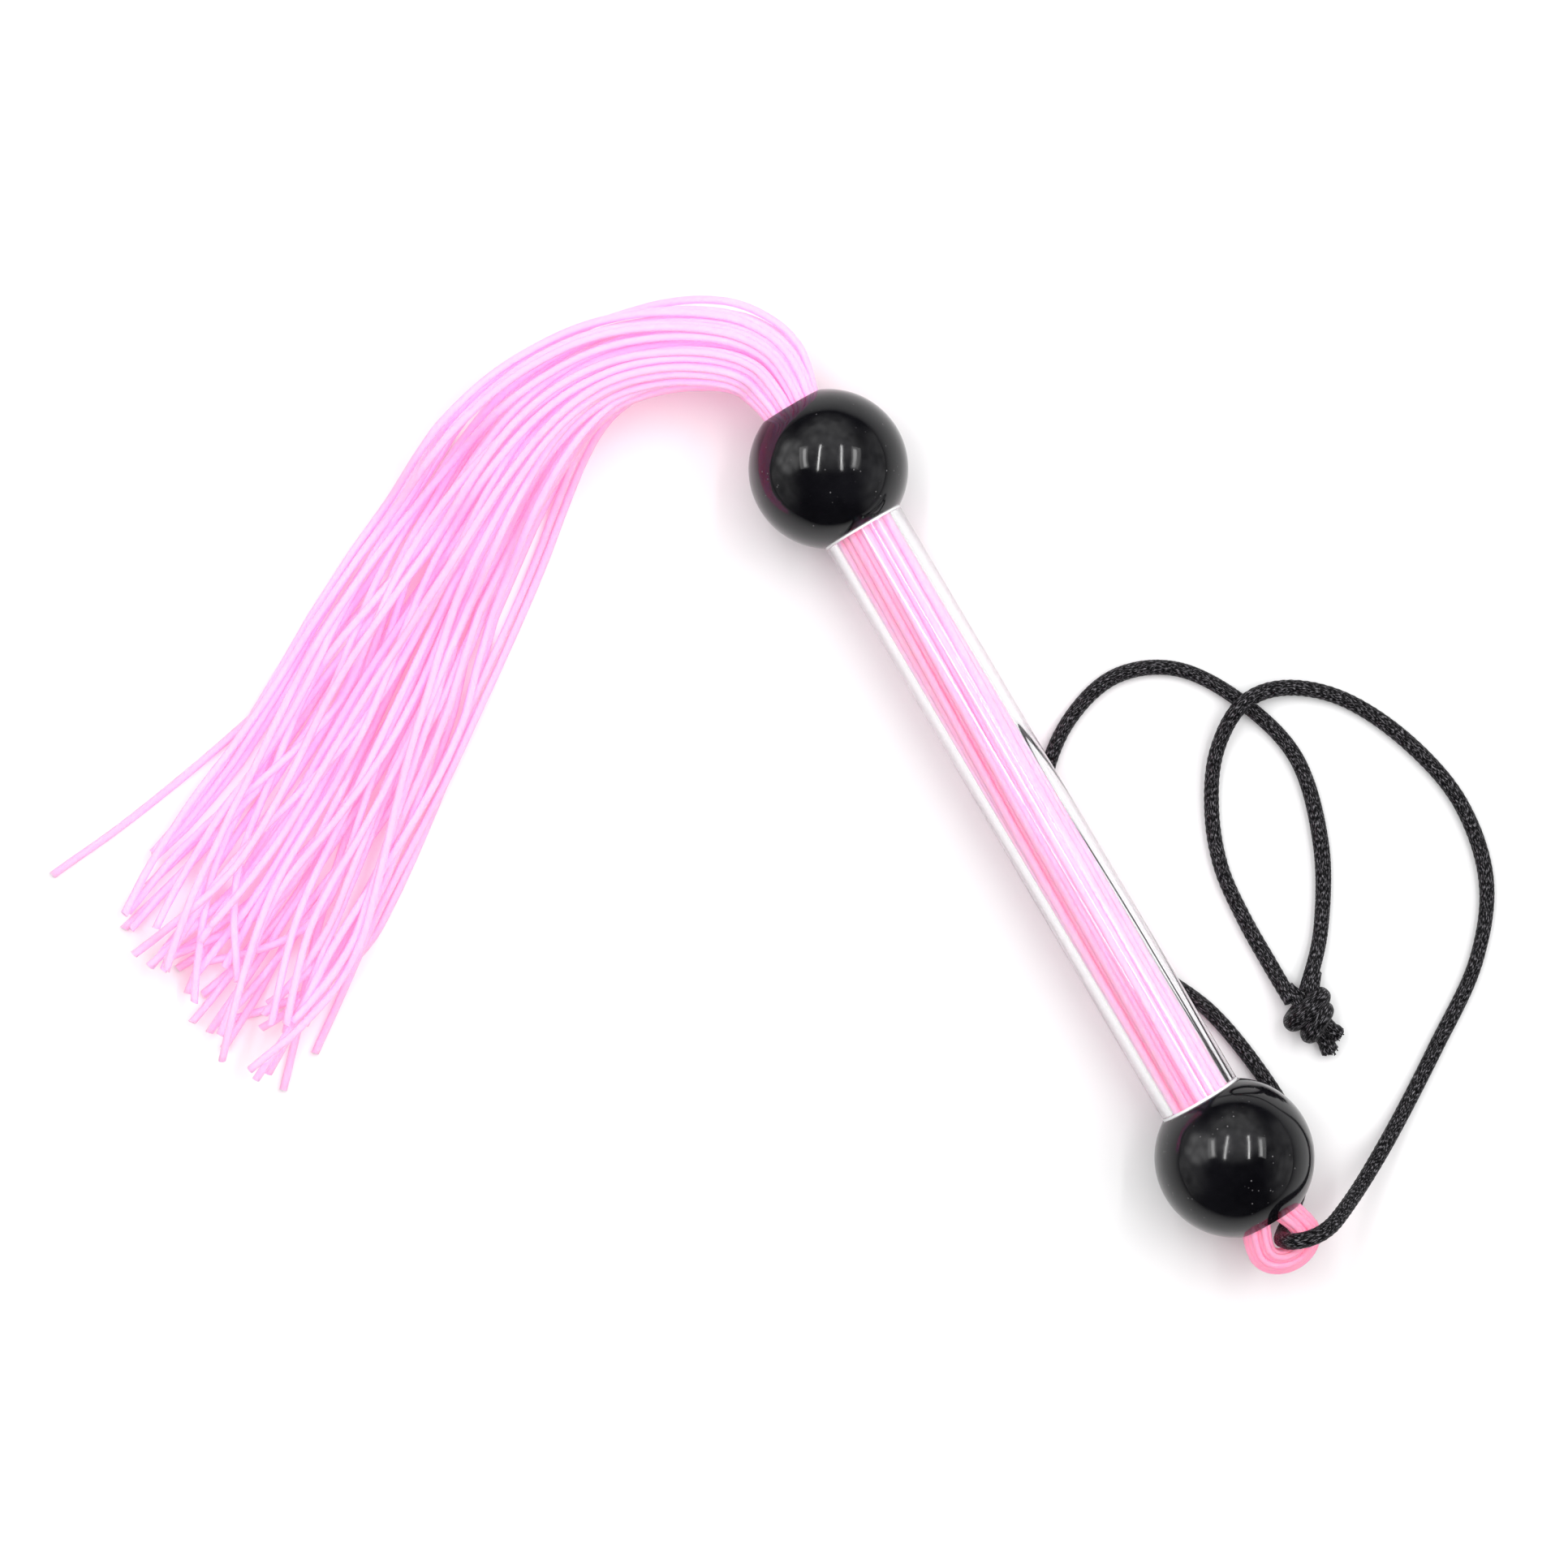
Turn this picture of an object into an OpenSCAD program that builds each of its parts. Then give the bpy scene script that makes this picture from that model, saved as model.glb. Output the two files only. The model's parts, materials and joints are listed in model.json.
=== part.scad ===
// Short whip: a clear tube handle between two drilled balls, a tail of soft strands that runs
// through the handle and is folded double into an eye at the butt, and a knotted cord wrist loop.
// +X runs along the handle from the butt to the tail, +Z is up, and the origin is the middle of
// the grip. Everything rests on a flat surface one ball radius below the origin.

/* [Handle] */
// Diameter of each ball
ball_d = 30; // [28:0.5:32]
// Distance between the centres of the two balls
ball_spacing = 150; // [140:1:170]
// Outside diameter of the clear tube
tube_d = 16; // [15:0.5:18]
// Inside diameter of the clear tube
tube_bore_d = 12; // [12:0.1:13]
// Diameter of the hole through each ball
ball_bore_d = 12.4; // [12.2:0.1:13]
// Distance from a ball's centre to the floor of its tube seat
seat_x = 12; // [10:0.5:12.5]
// Clearance between the tube and the wall of its seat
seat_gap = 0.15; // [0.1:0.05:0.3]

/* [Strands] */
// Diameter of a strand where it hangs free
strand_d = 1.5; // [1.3:0.05:1.5]
// Diameter of a strand where it is stretched through the handle
held_d = 1.4; // [1.2:0.05:1.4]
// Diameter of a strand where it is folded round the eye
fold_d = 1.0; // [0.9:0.05:1.0]
// Spacing of the strands inside the handle
held_pitch = 1.45; // [1.42:0.01:1.45]
// Spacing of the strands in the eye
fold_pitch = 1.3; // [1.27:0.01:1.32]
// Length of the longest free strand, from the ball's mouth to the tip
tail_length = 184; // [150:1:200]
// How much shorter the shortest strand is
tail_uneven = 20; // [0:1:25]
// How far the stray strand leaves the others at its tip
stray_reach = 12; // [0:1:20]

/* [Wrist cord] */
// Diameter of the cord
cord_d = 3; // [2.5:0.1:3]

/* [Hidden] */
FOLDS = 25;

ball_r = ball_d / 2;
floor_z = -ball_r;
upper_x = ball_spacing / 2;
tube_length = ball_spacing - 2 * seat_x;
mouth = sqrt(ball_r * ball_r - ball_bore_d * ball_bore_d / 4);
mouth_x = upper_x + mouth;
round_fn = 96;

// The strands lie in nine level rows. Each row holds a few strands on either side of the middle,
// at these distances from it, in pitches; the rows are row_rise pitches apart.
ROWS = [
    [-4, [1]], [-3, [0.5, 1.5, 2.5]], [-2, [1, 2, 3]], [-1, [0.5, 1.5, 2.5, 3.5]], [0, [1, 2, 3]],
    [1, [0.5, 1.5, 2.5, 3.5]], [2, [1, 2, 3]], [3, [0.5, 1.5, 2.5]], [4, [1]]
];
SLOTS = [for (row = ROWS) for (across = row[1]) [row[0], across]];
row_rise = sqrt(3) / 2;

// The eye: strands spread apart from spread_start, fold round eye_x in half circles that are
// flattened to eye_flat of their depth, and leave a hole for the cord.
spread_start = 11;
eye_x = 18;
eye_open = 1.9;
eye_flat = 0.8;
fold_steps = 10;
spread_steps = 4;

// The tail turns on the handle about an upright axis a little outside the upper ball's mouth. The
// held strands end inside a circle round that axis, and the free strands start outside a wider one.
turn_x = mouth_x + 2.35;
held_reach = 6.0;
free_reach = 6.3;

// The middle line of the tail, seen from above.
TAIL_LINE = [
    [88.6, 0], [93, 0], [98, 1], [102.5, 4.5], [106.5, 10.5], [109.5, 18], [111.2, 26], [111, 34.5],
    [108.8, 43.5], [104.8, 53], [99.2, 63.5], [92, 76], [84.2, 89], [76.4, 102], [69, 115.5],
    [62.2, 129], [56, 142.5], [50.5, 156]
];
// Where along the tail the rings of each strand lie, in millimetres from the ball's mouth.
TAIL_RINGS = [11, 14, 17, 20.5, 24.5, 29, 34, 40, 47, 55, 65, 78, 94, 112, 132, 150];
// How wide one pitch grows along the tail: distance from the mouth and width of a pitch.
TAIL_SPREAD = [
    [0, 1.45], [9, 1.45], [25, 2.5], [40, 2.9], [60, 3.6], [80, 4.4], [110, 5.2], [150, 5.9],
    [190, 7.4]
];
// The tail sinks to the floor, and neighbouring rows merge into five layers, over these stretches.
sink_from = 4;
sink_to = 62;
merge_from = 30;
merge_to = 65;
layer_pitch = 1.6;
lift_gap = 0.05;
// The two halves of the tail close up by this many pitches each as it widens.
middle_pull = 0.25;
// The stray strand is the outermost of the row just under the middle, a little shorter than the
// longest.
STRAY_SLOT = 10;
stray_short = 9;

// The cord's route, from one side of the knot round through the eye to the other side.
CORD_LINE = [
    [-56, -24.7, -11.4], [-48, -24.8, -13.1], [-38, -25, -13.4], [-27.5, -26.2, -13.4],
    [-17.5, -30, -13.2], [-8.3, -36.3, -12], [-2.8, -45, -10], [-4.3, -54, -12.2],
    [-12, -62.6, -13.4], [-25, -68.8, -13.4], [-40, -71.5, -13.4], [-55.3, -68.2, -13.4],
    [-67.6, -58.5, -13.4], [-77.5, -44, -13.4], [-85.6, -31, -12], [-91.3, -19.7, -6],
    [-94.2, -11.3, 2.8], [-94.8, -7.4, 6.5], [-94.4, -4, 7.8], [-93.4, -1, 6.2],
    [-92.8, 0, 2], [-92.8, 0, -2.5], [-92.2, -1.2, -6.4], [-90.2, -4.6, -10],
    [-85, -10, -13], [-76, -13, -13.4], [-64, -12.8, -13.4], [-50, -10.5, -13.4],
    [-38, -5.5, -13.4], [-22, 0.5, -13.4], [-7, 0.8, -13.4], [3, -5, -13.4],
    [11, -15, -13.4], [14, -27, -13.4], [9.3, -38, -13.4], [-2.2, -45.4, -13.4],
    [-17, -49, -13.4], [-33.4, -44.7, -13.4], [-47.3, -36.4, -13.1], [-55.8, -28, -11.4]
];
cord_steps = 2;
cord_sides = 8;
strand_sides = 6;
KNOT = [-60, -25.9];
knot_turn = 9;
knot_wrap_r = 3;
knot_z = floor_z + knot_wrap_r + cord_d / 2 + 0.05;

function node_number(i) = str(i < 9 ? "0" : "", i + 1);
function fold_name(i) = str("strand_", node_number(i), "_held");
function tail_name(i) = str("strand_", node_number(i), "_tail");

function blend(t) = let (c = min(max(t, 0), 1)) c * c * (3 - 2 * c);
function mix(a, b, t) = a + (b - a) * t;
function ramp(v, from, to) = blend((v - from) / (to - from));
function unit(v) = v / norm(v);

// A point of the smooth curve through four neighbouring points, between the middle two.
function smooth4(p, t) =
    0.5 * ((2 * p[1]) + (p[2] - p[0]) * t + (2 * p[0] - 5 * p[1] + 4 * p[2] - p[3]) * t * t
    + (3 * p[1] - p[0] - 3 * p[2] + p[3]) * t * t * t);

// The four points of a line that surround its span number k.
function around(line, k) =
    [line[max(k - 1, 0)], line[k], line[k + 1], line[min(k + 2, len(line) - 1)]];

// A whole smooth line through the given points, with steps points to each span.
function smooth_line(line, steps) = concat(
    [for (k = [0:len(line) - 2]) for (j = [0:steps - 1]) smooth4(around(line, k), j / steps)],
    [line[len(line) - 1]]
);

// Lengths along a line, from its start to each of its points.
function lengths(line, k = 0, sum = 0) =
    k == len(line) ? [] : let (s = sum + (k == 0 ? 0 : norm(line[k] - line[k - 1])))
    concat([s], lengths(line, k + 1, s));

TAIL_FINE = smooth_line(TAIL_LINE, 4);
TAIL_AT = lengths(TAIL_FINE);
TAIL_XS = [for (k = [0:len(TAIL_FINE) - 1]) [TAIL_AT[k], TAIL_FINE[k][0]]];
TAIL_YS = [for (k = [0:len(TAIL_FINE) - 1]) [TAIL_AT[k], TAIL_FINE[k][1]]];
function tail_point(s) = [lookup(s, TAIL_XS), lookup(s, TAIL_YS)];
function tail_way(s) = unit(tail_point(s + 1.5) - tail_point(max(s - 1.5, 0)));

// The layer, from -2 to 2, that a row joins in the tail.
function layer(row) = sign(row) * ceil(abs(row) / 2);

// The height of a row at s along the tail.
function tail_z(row, s) =
    let (
        pile_z = floor_z + strand_d / 2 + lift_gap + layer_pitch * (layer(row) + 2),
        apart = row * row_rise * held_pitch,
        layer_mid = layer(row) * mix(2, layer_pitch, ramp(s, sink_from, merge_to)),
        in_layer = apart - layer(row) * 2,
        merged = layer_mid + in_layer * (1 - ramp(s, merge_from, merge_to)),
        middle = mix(0, pile_z - layer(row) * layer_pitch, ramp(s, sink_from, sink_to))
    )
    middle + merged;

// A free strand's centre at s along the tail. across is its place in its row, in pitches.
function tail_at(row, across, s, stray) =
    let (
        way = tail_way(s),
        pulled = across - sign(across) * middle_pull * ramp(s, sink_from, sink_to),
        off = pulled * lookup(s, TAIL_SPREAD) + stray * pow(max(s - 60, 0) / 120, 2),
        p = tail_point(s)
    )
    [p[0] - way[1] * off, p[1] + way[0] * off, tail_z(row, s)];

// A strand's free length: a repeatable uneven cut.
function cut_length(i, side) =
    tail_length - tail_uneven * (0.5 + 0.5 * sin(i * 137.5 + side * 71)) * 0.999;

// Where a held strand's straight run ends, and where its free run starts, clear of the turn.
function held_end(across) =
    let (edge = abs(across) * held_pitch + held_d / 2)
    turn_x + sqrt(held_reach * held_reach - edge * edge);
function free_start(across) =
    let (edge = max(abs(across) * held_pitch - held_d / 2, 0))
    turn_x + sqrt(free_reach * free_reach - edge * edge);

// The path of one free half strand.
function tail_path(i, side) =
    let (
        row = SLOTS[i][0],
        across = side * SLOTS[i][1],
        stray = i == STRAY_SLOT && side < 0 ? -stray_reach : 0,
        start = free_start(across) - mouth_x,
        end = i == STRAY_SLOT && side < 0 ? tail_length - stray_short : cut_length(i, side),
        rings = concat([start], [for (s = TAIL_RINGS) if (s > start + 1.5) s], [end])
    )
    [for (s = rings) tail_at(row, across, s, stray)];

// The path of one folded strand through the handle: out of the upper ball, back through the tube
// and the lower ball, round the eye, and forward again.
function fold_side(row, across, side) =
    let (
        far = [held_end(side * across), side * across * held_pitch, row * row_rise * held_pitch]
    )
    concat(
        [far],
        [for (k = [0:spread_steps - 1])
            fold_at(row, across, side, mix(spread_start, eye_x, k / spread_steps))]
    );
function fold_at(row, across, side, out) =
    let (
        t = ramp(out, spread_start, eye_x),
        pitch = mix(held_pitch, fold_pitch, t)
    )
    [-upper_x - out, side * (across * pitch + eye_open * t), row * row_rise * pitch];
function fold_path(i) =
    let (
        row = SLOTS[i][0],
        across = SLOTS[i][1],
        radius = across * fold_pitch + eye_open,
        height = row * row_rise * fold_pitch,
        left = fold_side(row, across, 1),
        right = fold_side(row, across, -1)
    )
    concat(
        left,
        [for (k = [0:fold_steps]) let (a = 180 * k / fold_steps)
            [-upper_x - eye_x - eye_flat * radius * sin(a), radius * cos(a), height]],
        [for (k = [len(right) - 1:-1:0]) right[k]]
    );

// Half the thickness of a folded strand at a point of its path.
function held_radius(p) = mix(held_d, fold_d, ramp(-upper_x - p[0], spread_start, eye_x)) / 2;

// Rings that carry their corners on from ring to ring without twisting.
function carried(path, radii, sides, k = 0, level = undef) =
    k == len(path) ? [] :
    let (
        way = unit(path[min(k + 1, len(path) - 1)] - path[max(k - 1, 0)]),
        first = cross(way, abs(way[2]) > 0.9 ? [0, 1, 0] : [0, 0, 1]),
        side = unit(level == undef ? first : level - way * (level * way)),
        up = cross(side, way)
    )
    concat(
        [for (j = [0:sides - 1]) let (a = 360 * (j + 0.5) / sides)
            path[k] + radii[k] * (cos(a) * side + sin(a) * up)],
        carried(path, radii, sides, k + 1, side)
    );

// A closed tube swept along a path, with its own radius at each point.
module sweep(path, radii, sides) {
    rings = len(path);
    points = carried(path, radii, sides);
    walls = [
        for (k = [0:rings - 2]) for (j = [0:sides - 1])
            let (a = k * sides + j, b = k * sides + (j + 1) % sides)
            each [[a, b, b + sides], [a, b + sides, a + sides]]
    ];
    near_cap = [for (j = [sides - 1:-1:0]) j];
    far_cap = [for (j = [0:sides - 1]) (rings - 1) * sides + j];
    polyhedron(points, concat([near_cap], walls, [far_cap]), convexity = 10);
}

// A ball drilled through along X, with the tube's seat on the side that faces the grip.
module drilled_ball(seat_side) {
    difference() {
        sphere(d = ball_d, $fn = round_fn);
        rotate([0, 90, 0])
            cylinder(h = ball_d + 2, d = ball_bore_d, center = true, $fn = round_fn);
        translate([seat_side * seat_x, 0, 0])
            rotate([0, seat_side * 90, 0])
                cylinder(h = ball_r, d = tube_d + 2 * seat_gap, $fn = round_fn);
    }
}

module upper_ball() {
    color("#141416")
        translate([upper_x, 0, 0])
            drilled_ball(-1);
}

module lower_ball() {
    color("#141416")
        translate([-upper_x, 0, 0])
            drilled_ball(1);
}

module grip_tube() {
    color("#f4f4f8", 0.4)
        rotate([0, 90, 0])
            difference() {
                cylinder(h = tube_length, d = tube_d, center = true, $fn = round_fn);
                cylinder(h = tube_length + 2, d = tube_bore_d, center = true, $fn = round_fn);
            }
}

// One folded strand, as far as the handle holds it.
module strand_held(i) {
    path = fold_path(i);
    color("#ff9fcb")
        sweep(path, [for (p = path) held_radius(p)], strand_sides);
}

// The two free halves of one strand.
module strand_tail(i) {
    color("#ffbdea")
        for (side = [-1, 1]) {
            path = tail_path(i, side);
            sweep(path, [for (k = [0:len(path) - 1]) (k == 0 ? held_d : strand_d) / 2], strand_sides);
        }
}

module wrist_cord() {
    path = smooth_line(CORD_LINE, cord_steps);
    color("#18181b")
        sweep(path, [for (p = path) cord_d / 2], cord_sides);
}

// The knot: two wraps of cord round a core, and two short cut ends.
module cord_knot() {
    color("#18181b")
        translate([KNOT[0], KNOT[1], knot_z])
            rotate([0, 0, knot_turn]) {
                rotate([0, 90, 0])
                    cylinder(h = 8.4, r = knot_wrap_r, center = true, $fn = round_fn);
                for (side = [-1, 1])
                    translate([side * 1.7, 0, 0])
                        rotate([0, 90, 0])
                            rotate_extrude($fn = round_fn)
                                translate([knot_wrap_r, 0])
                                    circle(d = cord_d, $fn = 48);
                for (side = [-1, 1])
                    translate([-3.4, side * 1.6, -0.8])
                        rotate([0, -96, side * -10])
                            cylinder(h = 4.6, d = cord_d, $fn = 48);
            }
}

upper_ball();
lower_ball();
grip_tube();
for (i = [0:FOLDS - 1]) {
    strand_held(i);
    strand_tail(i);
}
wrist_cord();
cord_knot();
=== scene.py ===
"""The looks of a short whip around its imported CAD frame: a clear tube grip between two glossy
black balls, fifty soft pink strand ends, and a braided cord wrist loop with a knot.

Lengths in the shape code are millimetres in the row frame; meshes are written in metres.
"""

import json
import math

import bpy
import numpy as np
from mathutils import Matrix, Vector

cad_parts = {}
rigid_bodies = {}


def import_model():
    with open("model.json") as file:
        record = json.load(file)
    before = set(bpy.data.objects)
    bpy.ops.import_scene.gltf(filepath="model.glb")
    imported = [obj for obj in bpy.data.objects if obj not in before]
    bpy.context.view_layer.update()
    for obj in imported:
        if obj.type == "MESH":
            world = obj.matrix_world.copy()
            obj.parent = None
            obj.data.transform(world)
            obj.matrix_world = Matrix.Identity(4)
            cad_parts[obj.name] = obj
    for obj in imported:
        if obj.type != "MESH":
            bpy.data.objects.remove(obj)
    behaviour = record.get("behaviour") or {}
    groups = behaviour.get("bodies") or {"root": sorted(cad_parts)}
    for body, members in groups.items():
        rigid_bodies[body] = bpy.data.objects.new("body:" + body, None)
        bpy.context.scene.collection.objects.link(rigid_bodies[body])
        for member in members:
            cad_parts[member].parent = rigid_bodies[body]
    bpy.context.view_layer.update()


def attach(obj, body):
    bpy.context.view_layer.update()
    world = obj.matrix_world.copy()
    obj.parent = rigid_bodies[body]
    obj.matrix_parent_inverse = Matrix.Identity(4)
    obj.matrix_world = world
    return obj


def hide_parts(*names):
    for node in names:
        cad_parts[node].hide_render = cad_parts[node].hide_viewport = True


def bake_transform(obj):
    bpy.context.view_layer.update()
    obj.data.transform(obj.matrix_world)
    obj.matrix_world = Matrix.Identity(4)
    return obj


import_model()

MM = 0.001
FLOOR_Z = -15.0


# ---------------------------------------------------------------- camera
EYE_POINT = Vector((0.0283, 0.0372, 1.2))
BACK = Vector((0, 0, 1))
UP = Vector((0.8615, -0.508, 0)).normalized()
RIGHT = UP.cross(BACK)
FIELD = 0.2942

camera_data = bpy.data.cameras.new("camera")
camera_data.sensor_width = 36
camera_data.lens = 36 * EYE_POINT.z / FIELD
camera_data.clip_start = 0.05
camera_data.clip_end = 20
camera = bpy.data.objects.new("camera", camera_data)
bpy.context.scene.collection.objects.link(camera)
camera.matrix_world = Matrix.Translation(EYE_POINT) @ Matrix((RIGHT, UP, BACK)).transposed().to_4x4()
bpy.context.scene.camera = camera


# ---------------------------------------------------------------- curves and tubes
def smooth_line(points, steps):
    """A Catmull-Rom line through the points, with steps points to each span."""
    p = np.array(points, float)
    ends = np.vstack([p[:1], p, p[-1:]])
    t = (np.arange(steps) / steps)[:, None]
    out = []
    for k in range(len(p) - 1):
        a, b, c, d = ends[k:k + 4]
        out.append(0.5 * (2 * b + (c - a) * t + (2 * a - 5 * b + 4 * c - d) * t ** 2
                          + (3 * b - a - 3 * c + d) * t ** 3))
    return np.vstack(out + [p[-1:]])


def run(path):
    """Length along a path, from its start to each point."""
    return np.concatenate([[0], np.cumsum(np.linalg.norm(np.diff(path, axis=0), axis=1))])


def even(path, step):
    """The same path with points about step apart."""
    s = run(path)
    at = np.linspace(0, s[-1], max(int(round(s[-1] / step)), 2) + 1)
    return np.stack([np.interp(at, s, path[:, a]) for a in range(3)], axis=1)


def unit(v):
    return v / np.maximum(np.linalg.norm(v, axis=-1, keepdims=True), 1e-12)


def ramp(v, start, end):
    t = np.clip((np.asarray(v, float) - start) / (end - start), 0, 1)
    return t * t * (3 - 2 * t)


def frames(path):
    """Way, side and up of each point, carried along without twisting."""
    way = unit(np.gradient(path, axis=0))
    side = np.zeros_like(path)
    first = np.array([0, 1.0, 0]) if abs(way[0][2]) > 0.9 else np.array([0, 0, 1.0])
    level = np.cross(way[0], first)
    for k in range(len(path)):
        level = unit(level - way[k] * (level @ way[k]))
        side[k] = level
    return way, side, np.cross(side, way)


def add_mesh(name, points, faces, uvs, finish, flat=()):
    """A mesh object from points in millimetres. uvs holds one pair for each face corner."""
    mesh = bpy.data.meshes.new(name)
    mesh.from_pydata((np.asarray(points) * MM).tolist(), [], faces)
    mesh.update()
    layer = mesh.uv_layers.new(name="surface")
    layer.data.foreach_set("uv", np.asarray(uvs, np.float32).ravel())
    smooth = np.ones(len(faces), bool)
    smooth[list(flat)] = False
    mesh.polygons.foreach_set("use_smooth", smooth)
    mesh.materials.append(finish)
    made = bpy.data.objects.new(name, mesh)
    bpy.context.scene.collection.objects.link(made)
    return made


def tube_parts(path, radius, sides, lean=0.0, first=0):
    """Points, faces and corner uvs (in centimetres) of a closed round tube.

    radius is a number, one value per point, or one per point and side. lean tilts the far cut.
    """
    n = len(path)
    radius = np.asarray(radius, float)
    if radius.ndim < 2:
        radius = np.broadcast_to(radius.reshape(-1, 1), (n, sides))
    way, side, up = frames(path)
    angle = 2 * np.pi * np.arange(sides) / sides
    spoke = np.cos(angle)[None, :, None] * side[:, None] + np.sin(angle)[None, :, None] * up[:, None]
    rings = path[:, None] + radius[:, :, None] * spoke
    tilt = lean * np.cos(angle)
    near_lip = path[0] - way[0] * 0.06 + 0.9 * radius[0][:, None] * spoke[0]
    far_lip = path[-1] + way[-1] * 0.06 + 0.9 * radius[-1][:, None] * spoke[-1]
    rings[-1] += tilt[:, None] * way[-1]
    far_lip = far_lip + tilt[:, None] * way[-1]
    points = np.vstack([near_lip, rings.reshape(-1, 3), far_lip, path[:1] - way[:1] * 0.06,
                        path[-1:] + way[-1:] * 0.06])
    s = run(path)
    s = np.concatenate([[s[0] - 0.1], s, [s[-1] + 0.1]]) * 0.1
    around = 2 * np.pi * radius.mean() * np.arange(sides + 1) / sides * 0.1
    faces, uvs, flat = [], [], []
    for k in range(n + 1):
        for j in range(sides):
            a, b = k * sides + j, k * sides + (j + 1) % sides
            faces.append((first + a, first + b, first + b + sides, first + a + sides))
            uvs += [(around[j], s[k]), (around[j + 1], s[k]), (around[j + 1], s[k + 1]),
                    (around[j], s[k + 1])]
    near, far = (n + 2) * sides, (n + 2) * sides + 1
    for j in range(sides):
        a, b = j, (j + 1) % sides
        faces.append((first + near, first + b, first + a))
        flat.append(len(faces) - 1)
        a, b = (n + 1) * sides + j, (n + 1) * sides + (j + 1) % sides
        faces.append((first + far, first + a, first + b))
        flat.append(len(faces) - 1)
        uvs += [(0.05, s[0]), (0, s[0]), (0.02, s[0])]
        uvs += [(0.05, s[-1]), (0, s[-1]), (0.02, s[-1])]
    return points, faces, uvs, flat


def tube(name, path, radius, sides, finish, lean=0.0):
    points, faces, uvs, flat = tube_parts(path, radius, sides, lean)
    return add_mesh(name, points, faces, uvs, finish, flat)


def lathe(name, profile, middle_x, sides, finish, sharp=()):
    """A closed ring turned round the X axis from (x, radius) points. sharp lists flat bands."""
    n = len(profile)
    x, r = np.array(profile, float).T
    angle = 2 * np.pi * np.arange(sides) / sides
    rings = np.stack([np.repeat(x[:, None] + middle_x, sides, 1), r[:, None] * np.cos(angle),
                      r[:, None] * np.sin(angle)], axis=2)
    gaps = np.hypot(np.diff(x, append=x[0]), np.diff(r, append=r[0]))
    s = np.concatenate([[0], np.cumsum(gaps)]) * 0.1
    around = 2 * np.pi * r.max() * np.arange(sides + 1) / sides * 0.1
    faces, uvs, flat = [], [], []
    for k in range(n):
        for j in range(sides):
            a, b = k * sides + j, k * sides + (j + 1) % sides
            c, d = (k + 1) % n * sides + (j + 1) % sides, (k + 1) % n * sides + j
            faces.append((a, b, c, d))
            uvs += [(around[j], s[k]), (around[j + 1], s[k]), (around[j + 1], s[k + 1]),
                    (around[j], s[k + 1])]
            if k in sharp:
                flat.append(len(faces) - 1)
    return add_mesh(name, rings.reshape(-1, 3), faces, uvs, finish, flat)


# ---------------------------------------------------------------- finishes
class Finish:
    """A Principled material, with short ways to add the nodes that its patterns need."""

    def __init__(self, name, **values):
        self.material = bpy.data.materials.new(name)
        self.material.use_nodes = True
        self.tree = self.material.node_tree
        self.shader = self.tree.nodes["Principled BSDF"]
        self.output = self.tree.nodes["Material Output"]
        for socket, value in values.items():
            self.shader.inputs[socket.replace("_", " ")].default_value = value

    def node(self, kind, **settings):
        made = self.tree.nodes.new(kind)
        for key, value in settings.items():
            if key in made.inputs:
                made.inputs[key].default_value = value
            else:
                setattr(made, key, value)
        return made

    def link(self, source, target):
        self.tree.links.new(source, target)

    def surface(self, scale, turn=0.0):
        """The mesh's own uv map in centimetres, turned, times scale."""
        uv = self.node("ShaderNodeUVMap", uv_map="surface")
        mapping = self.node("ShaderNodeMapping", Scale=scale, Rotation=(0, 0, turn))
        self.link(uv.outputs["UV"], mapping.inputs["Vector"])
        return mapping.outputs["Vector"]

    def noise(self, vector, scale, detail=2.0, roughness=0.5):
        made = self.node("ShaderNodeTexNoise", Scale=scale, Detail=detail, Roughness=roughness)
        self.link(vector, made.inputs["Vector"])
        return made.outputs["Fac"]

    def spread(self, value, low, high, out_low, out_high):
        """value from low..high, mapped to out_low..out_high."""
        made = self.node("ShaderNodeMapRange")
        for key, number in zip(("From Min", "From Max", "To Min", "To Max"),
                               (low, high, out_low, out_high)):
            made.inputs[key].default_value = number
        self.link(value, made.inputs["Value"])
        return made.outputs["Result"]

    def blend(self, factor, first, second):
        made = self.node("ShaderNodeMix", data_type="RGBA")
        colours = [i for i in made.inputs if i.type == "RGBA"]
        for target, source in zip([made.inputs[0], *colours], (factor, first, second)):
            if isinstance(source, bpy.types.NodeSocket):
                self.link(source, target)
            else:
                target.default_value = source
        return [o for o in made.outputs if o.type == "RGBA"][0]

    def add(self, first, second, operation="ADD"):
        made = self.node("ShaderNodeMath", operation=operation)
        for target, source in zip(made.inputs, (first, second)):
            if isinstance(source, bpy.types.NodeSocket):
                self.link(source, target)
            else:
                target.default_value = source
        return made.outputs[0]

    def bump(self, height, distance, strength=1.0):
        made = self.node("ShaderNodeBump", Distance=distance, Strength=strength)
        self.link(height, made.inputs["Height"])
        self.link(made.outputs["Normal"], self.shader.inputs["Normal"])


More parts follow.
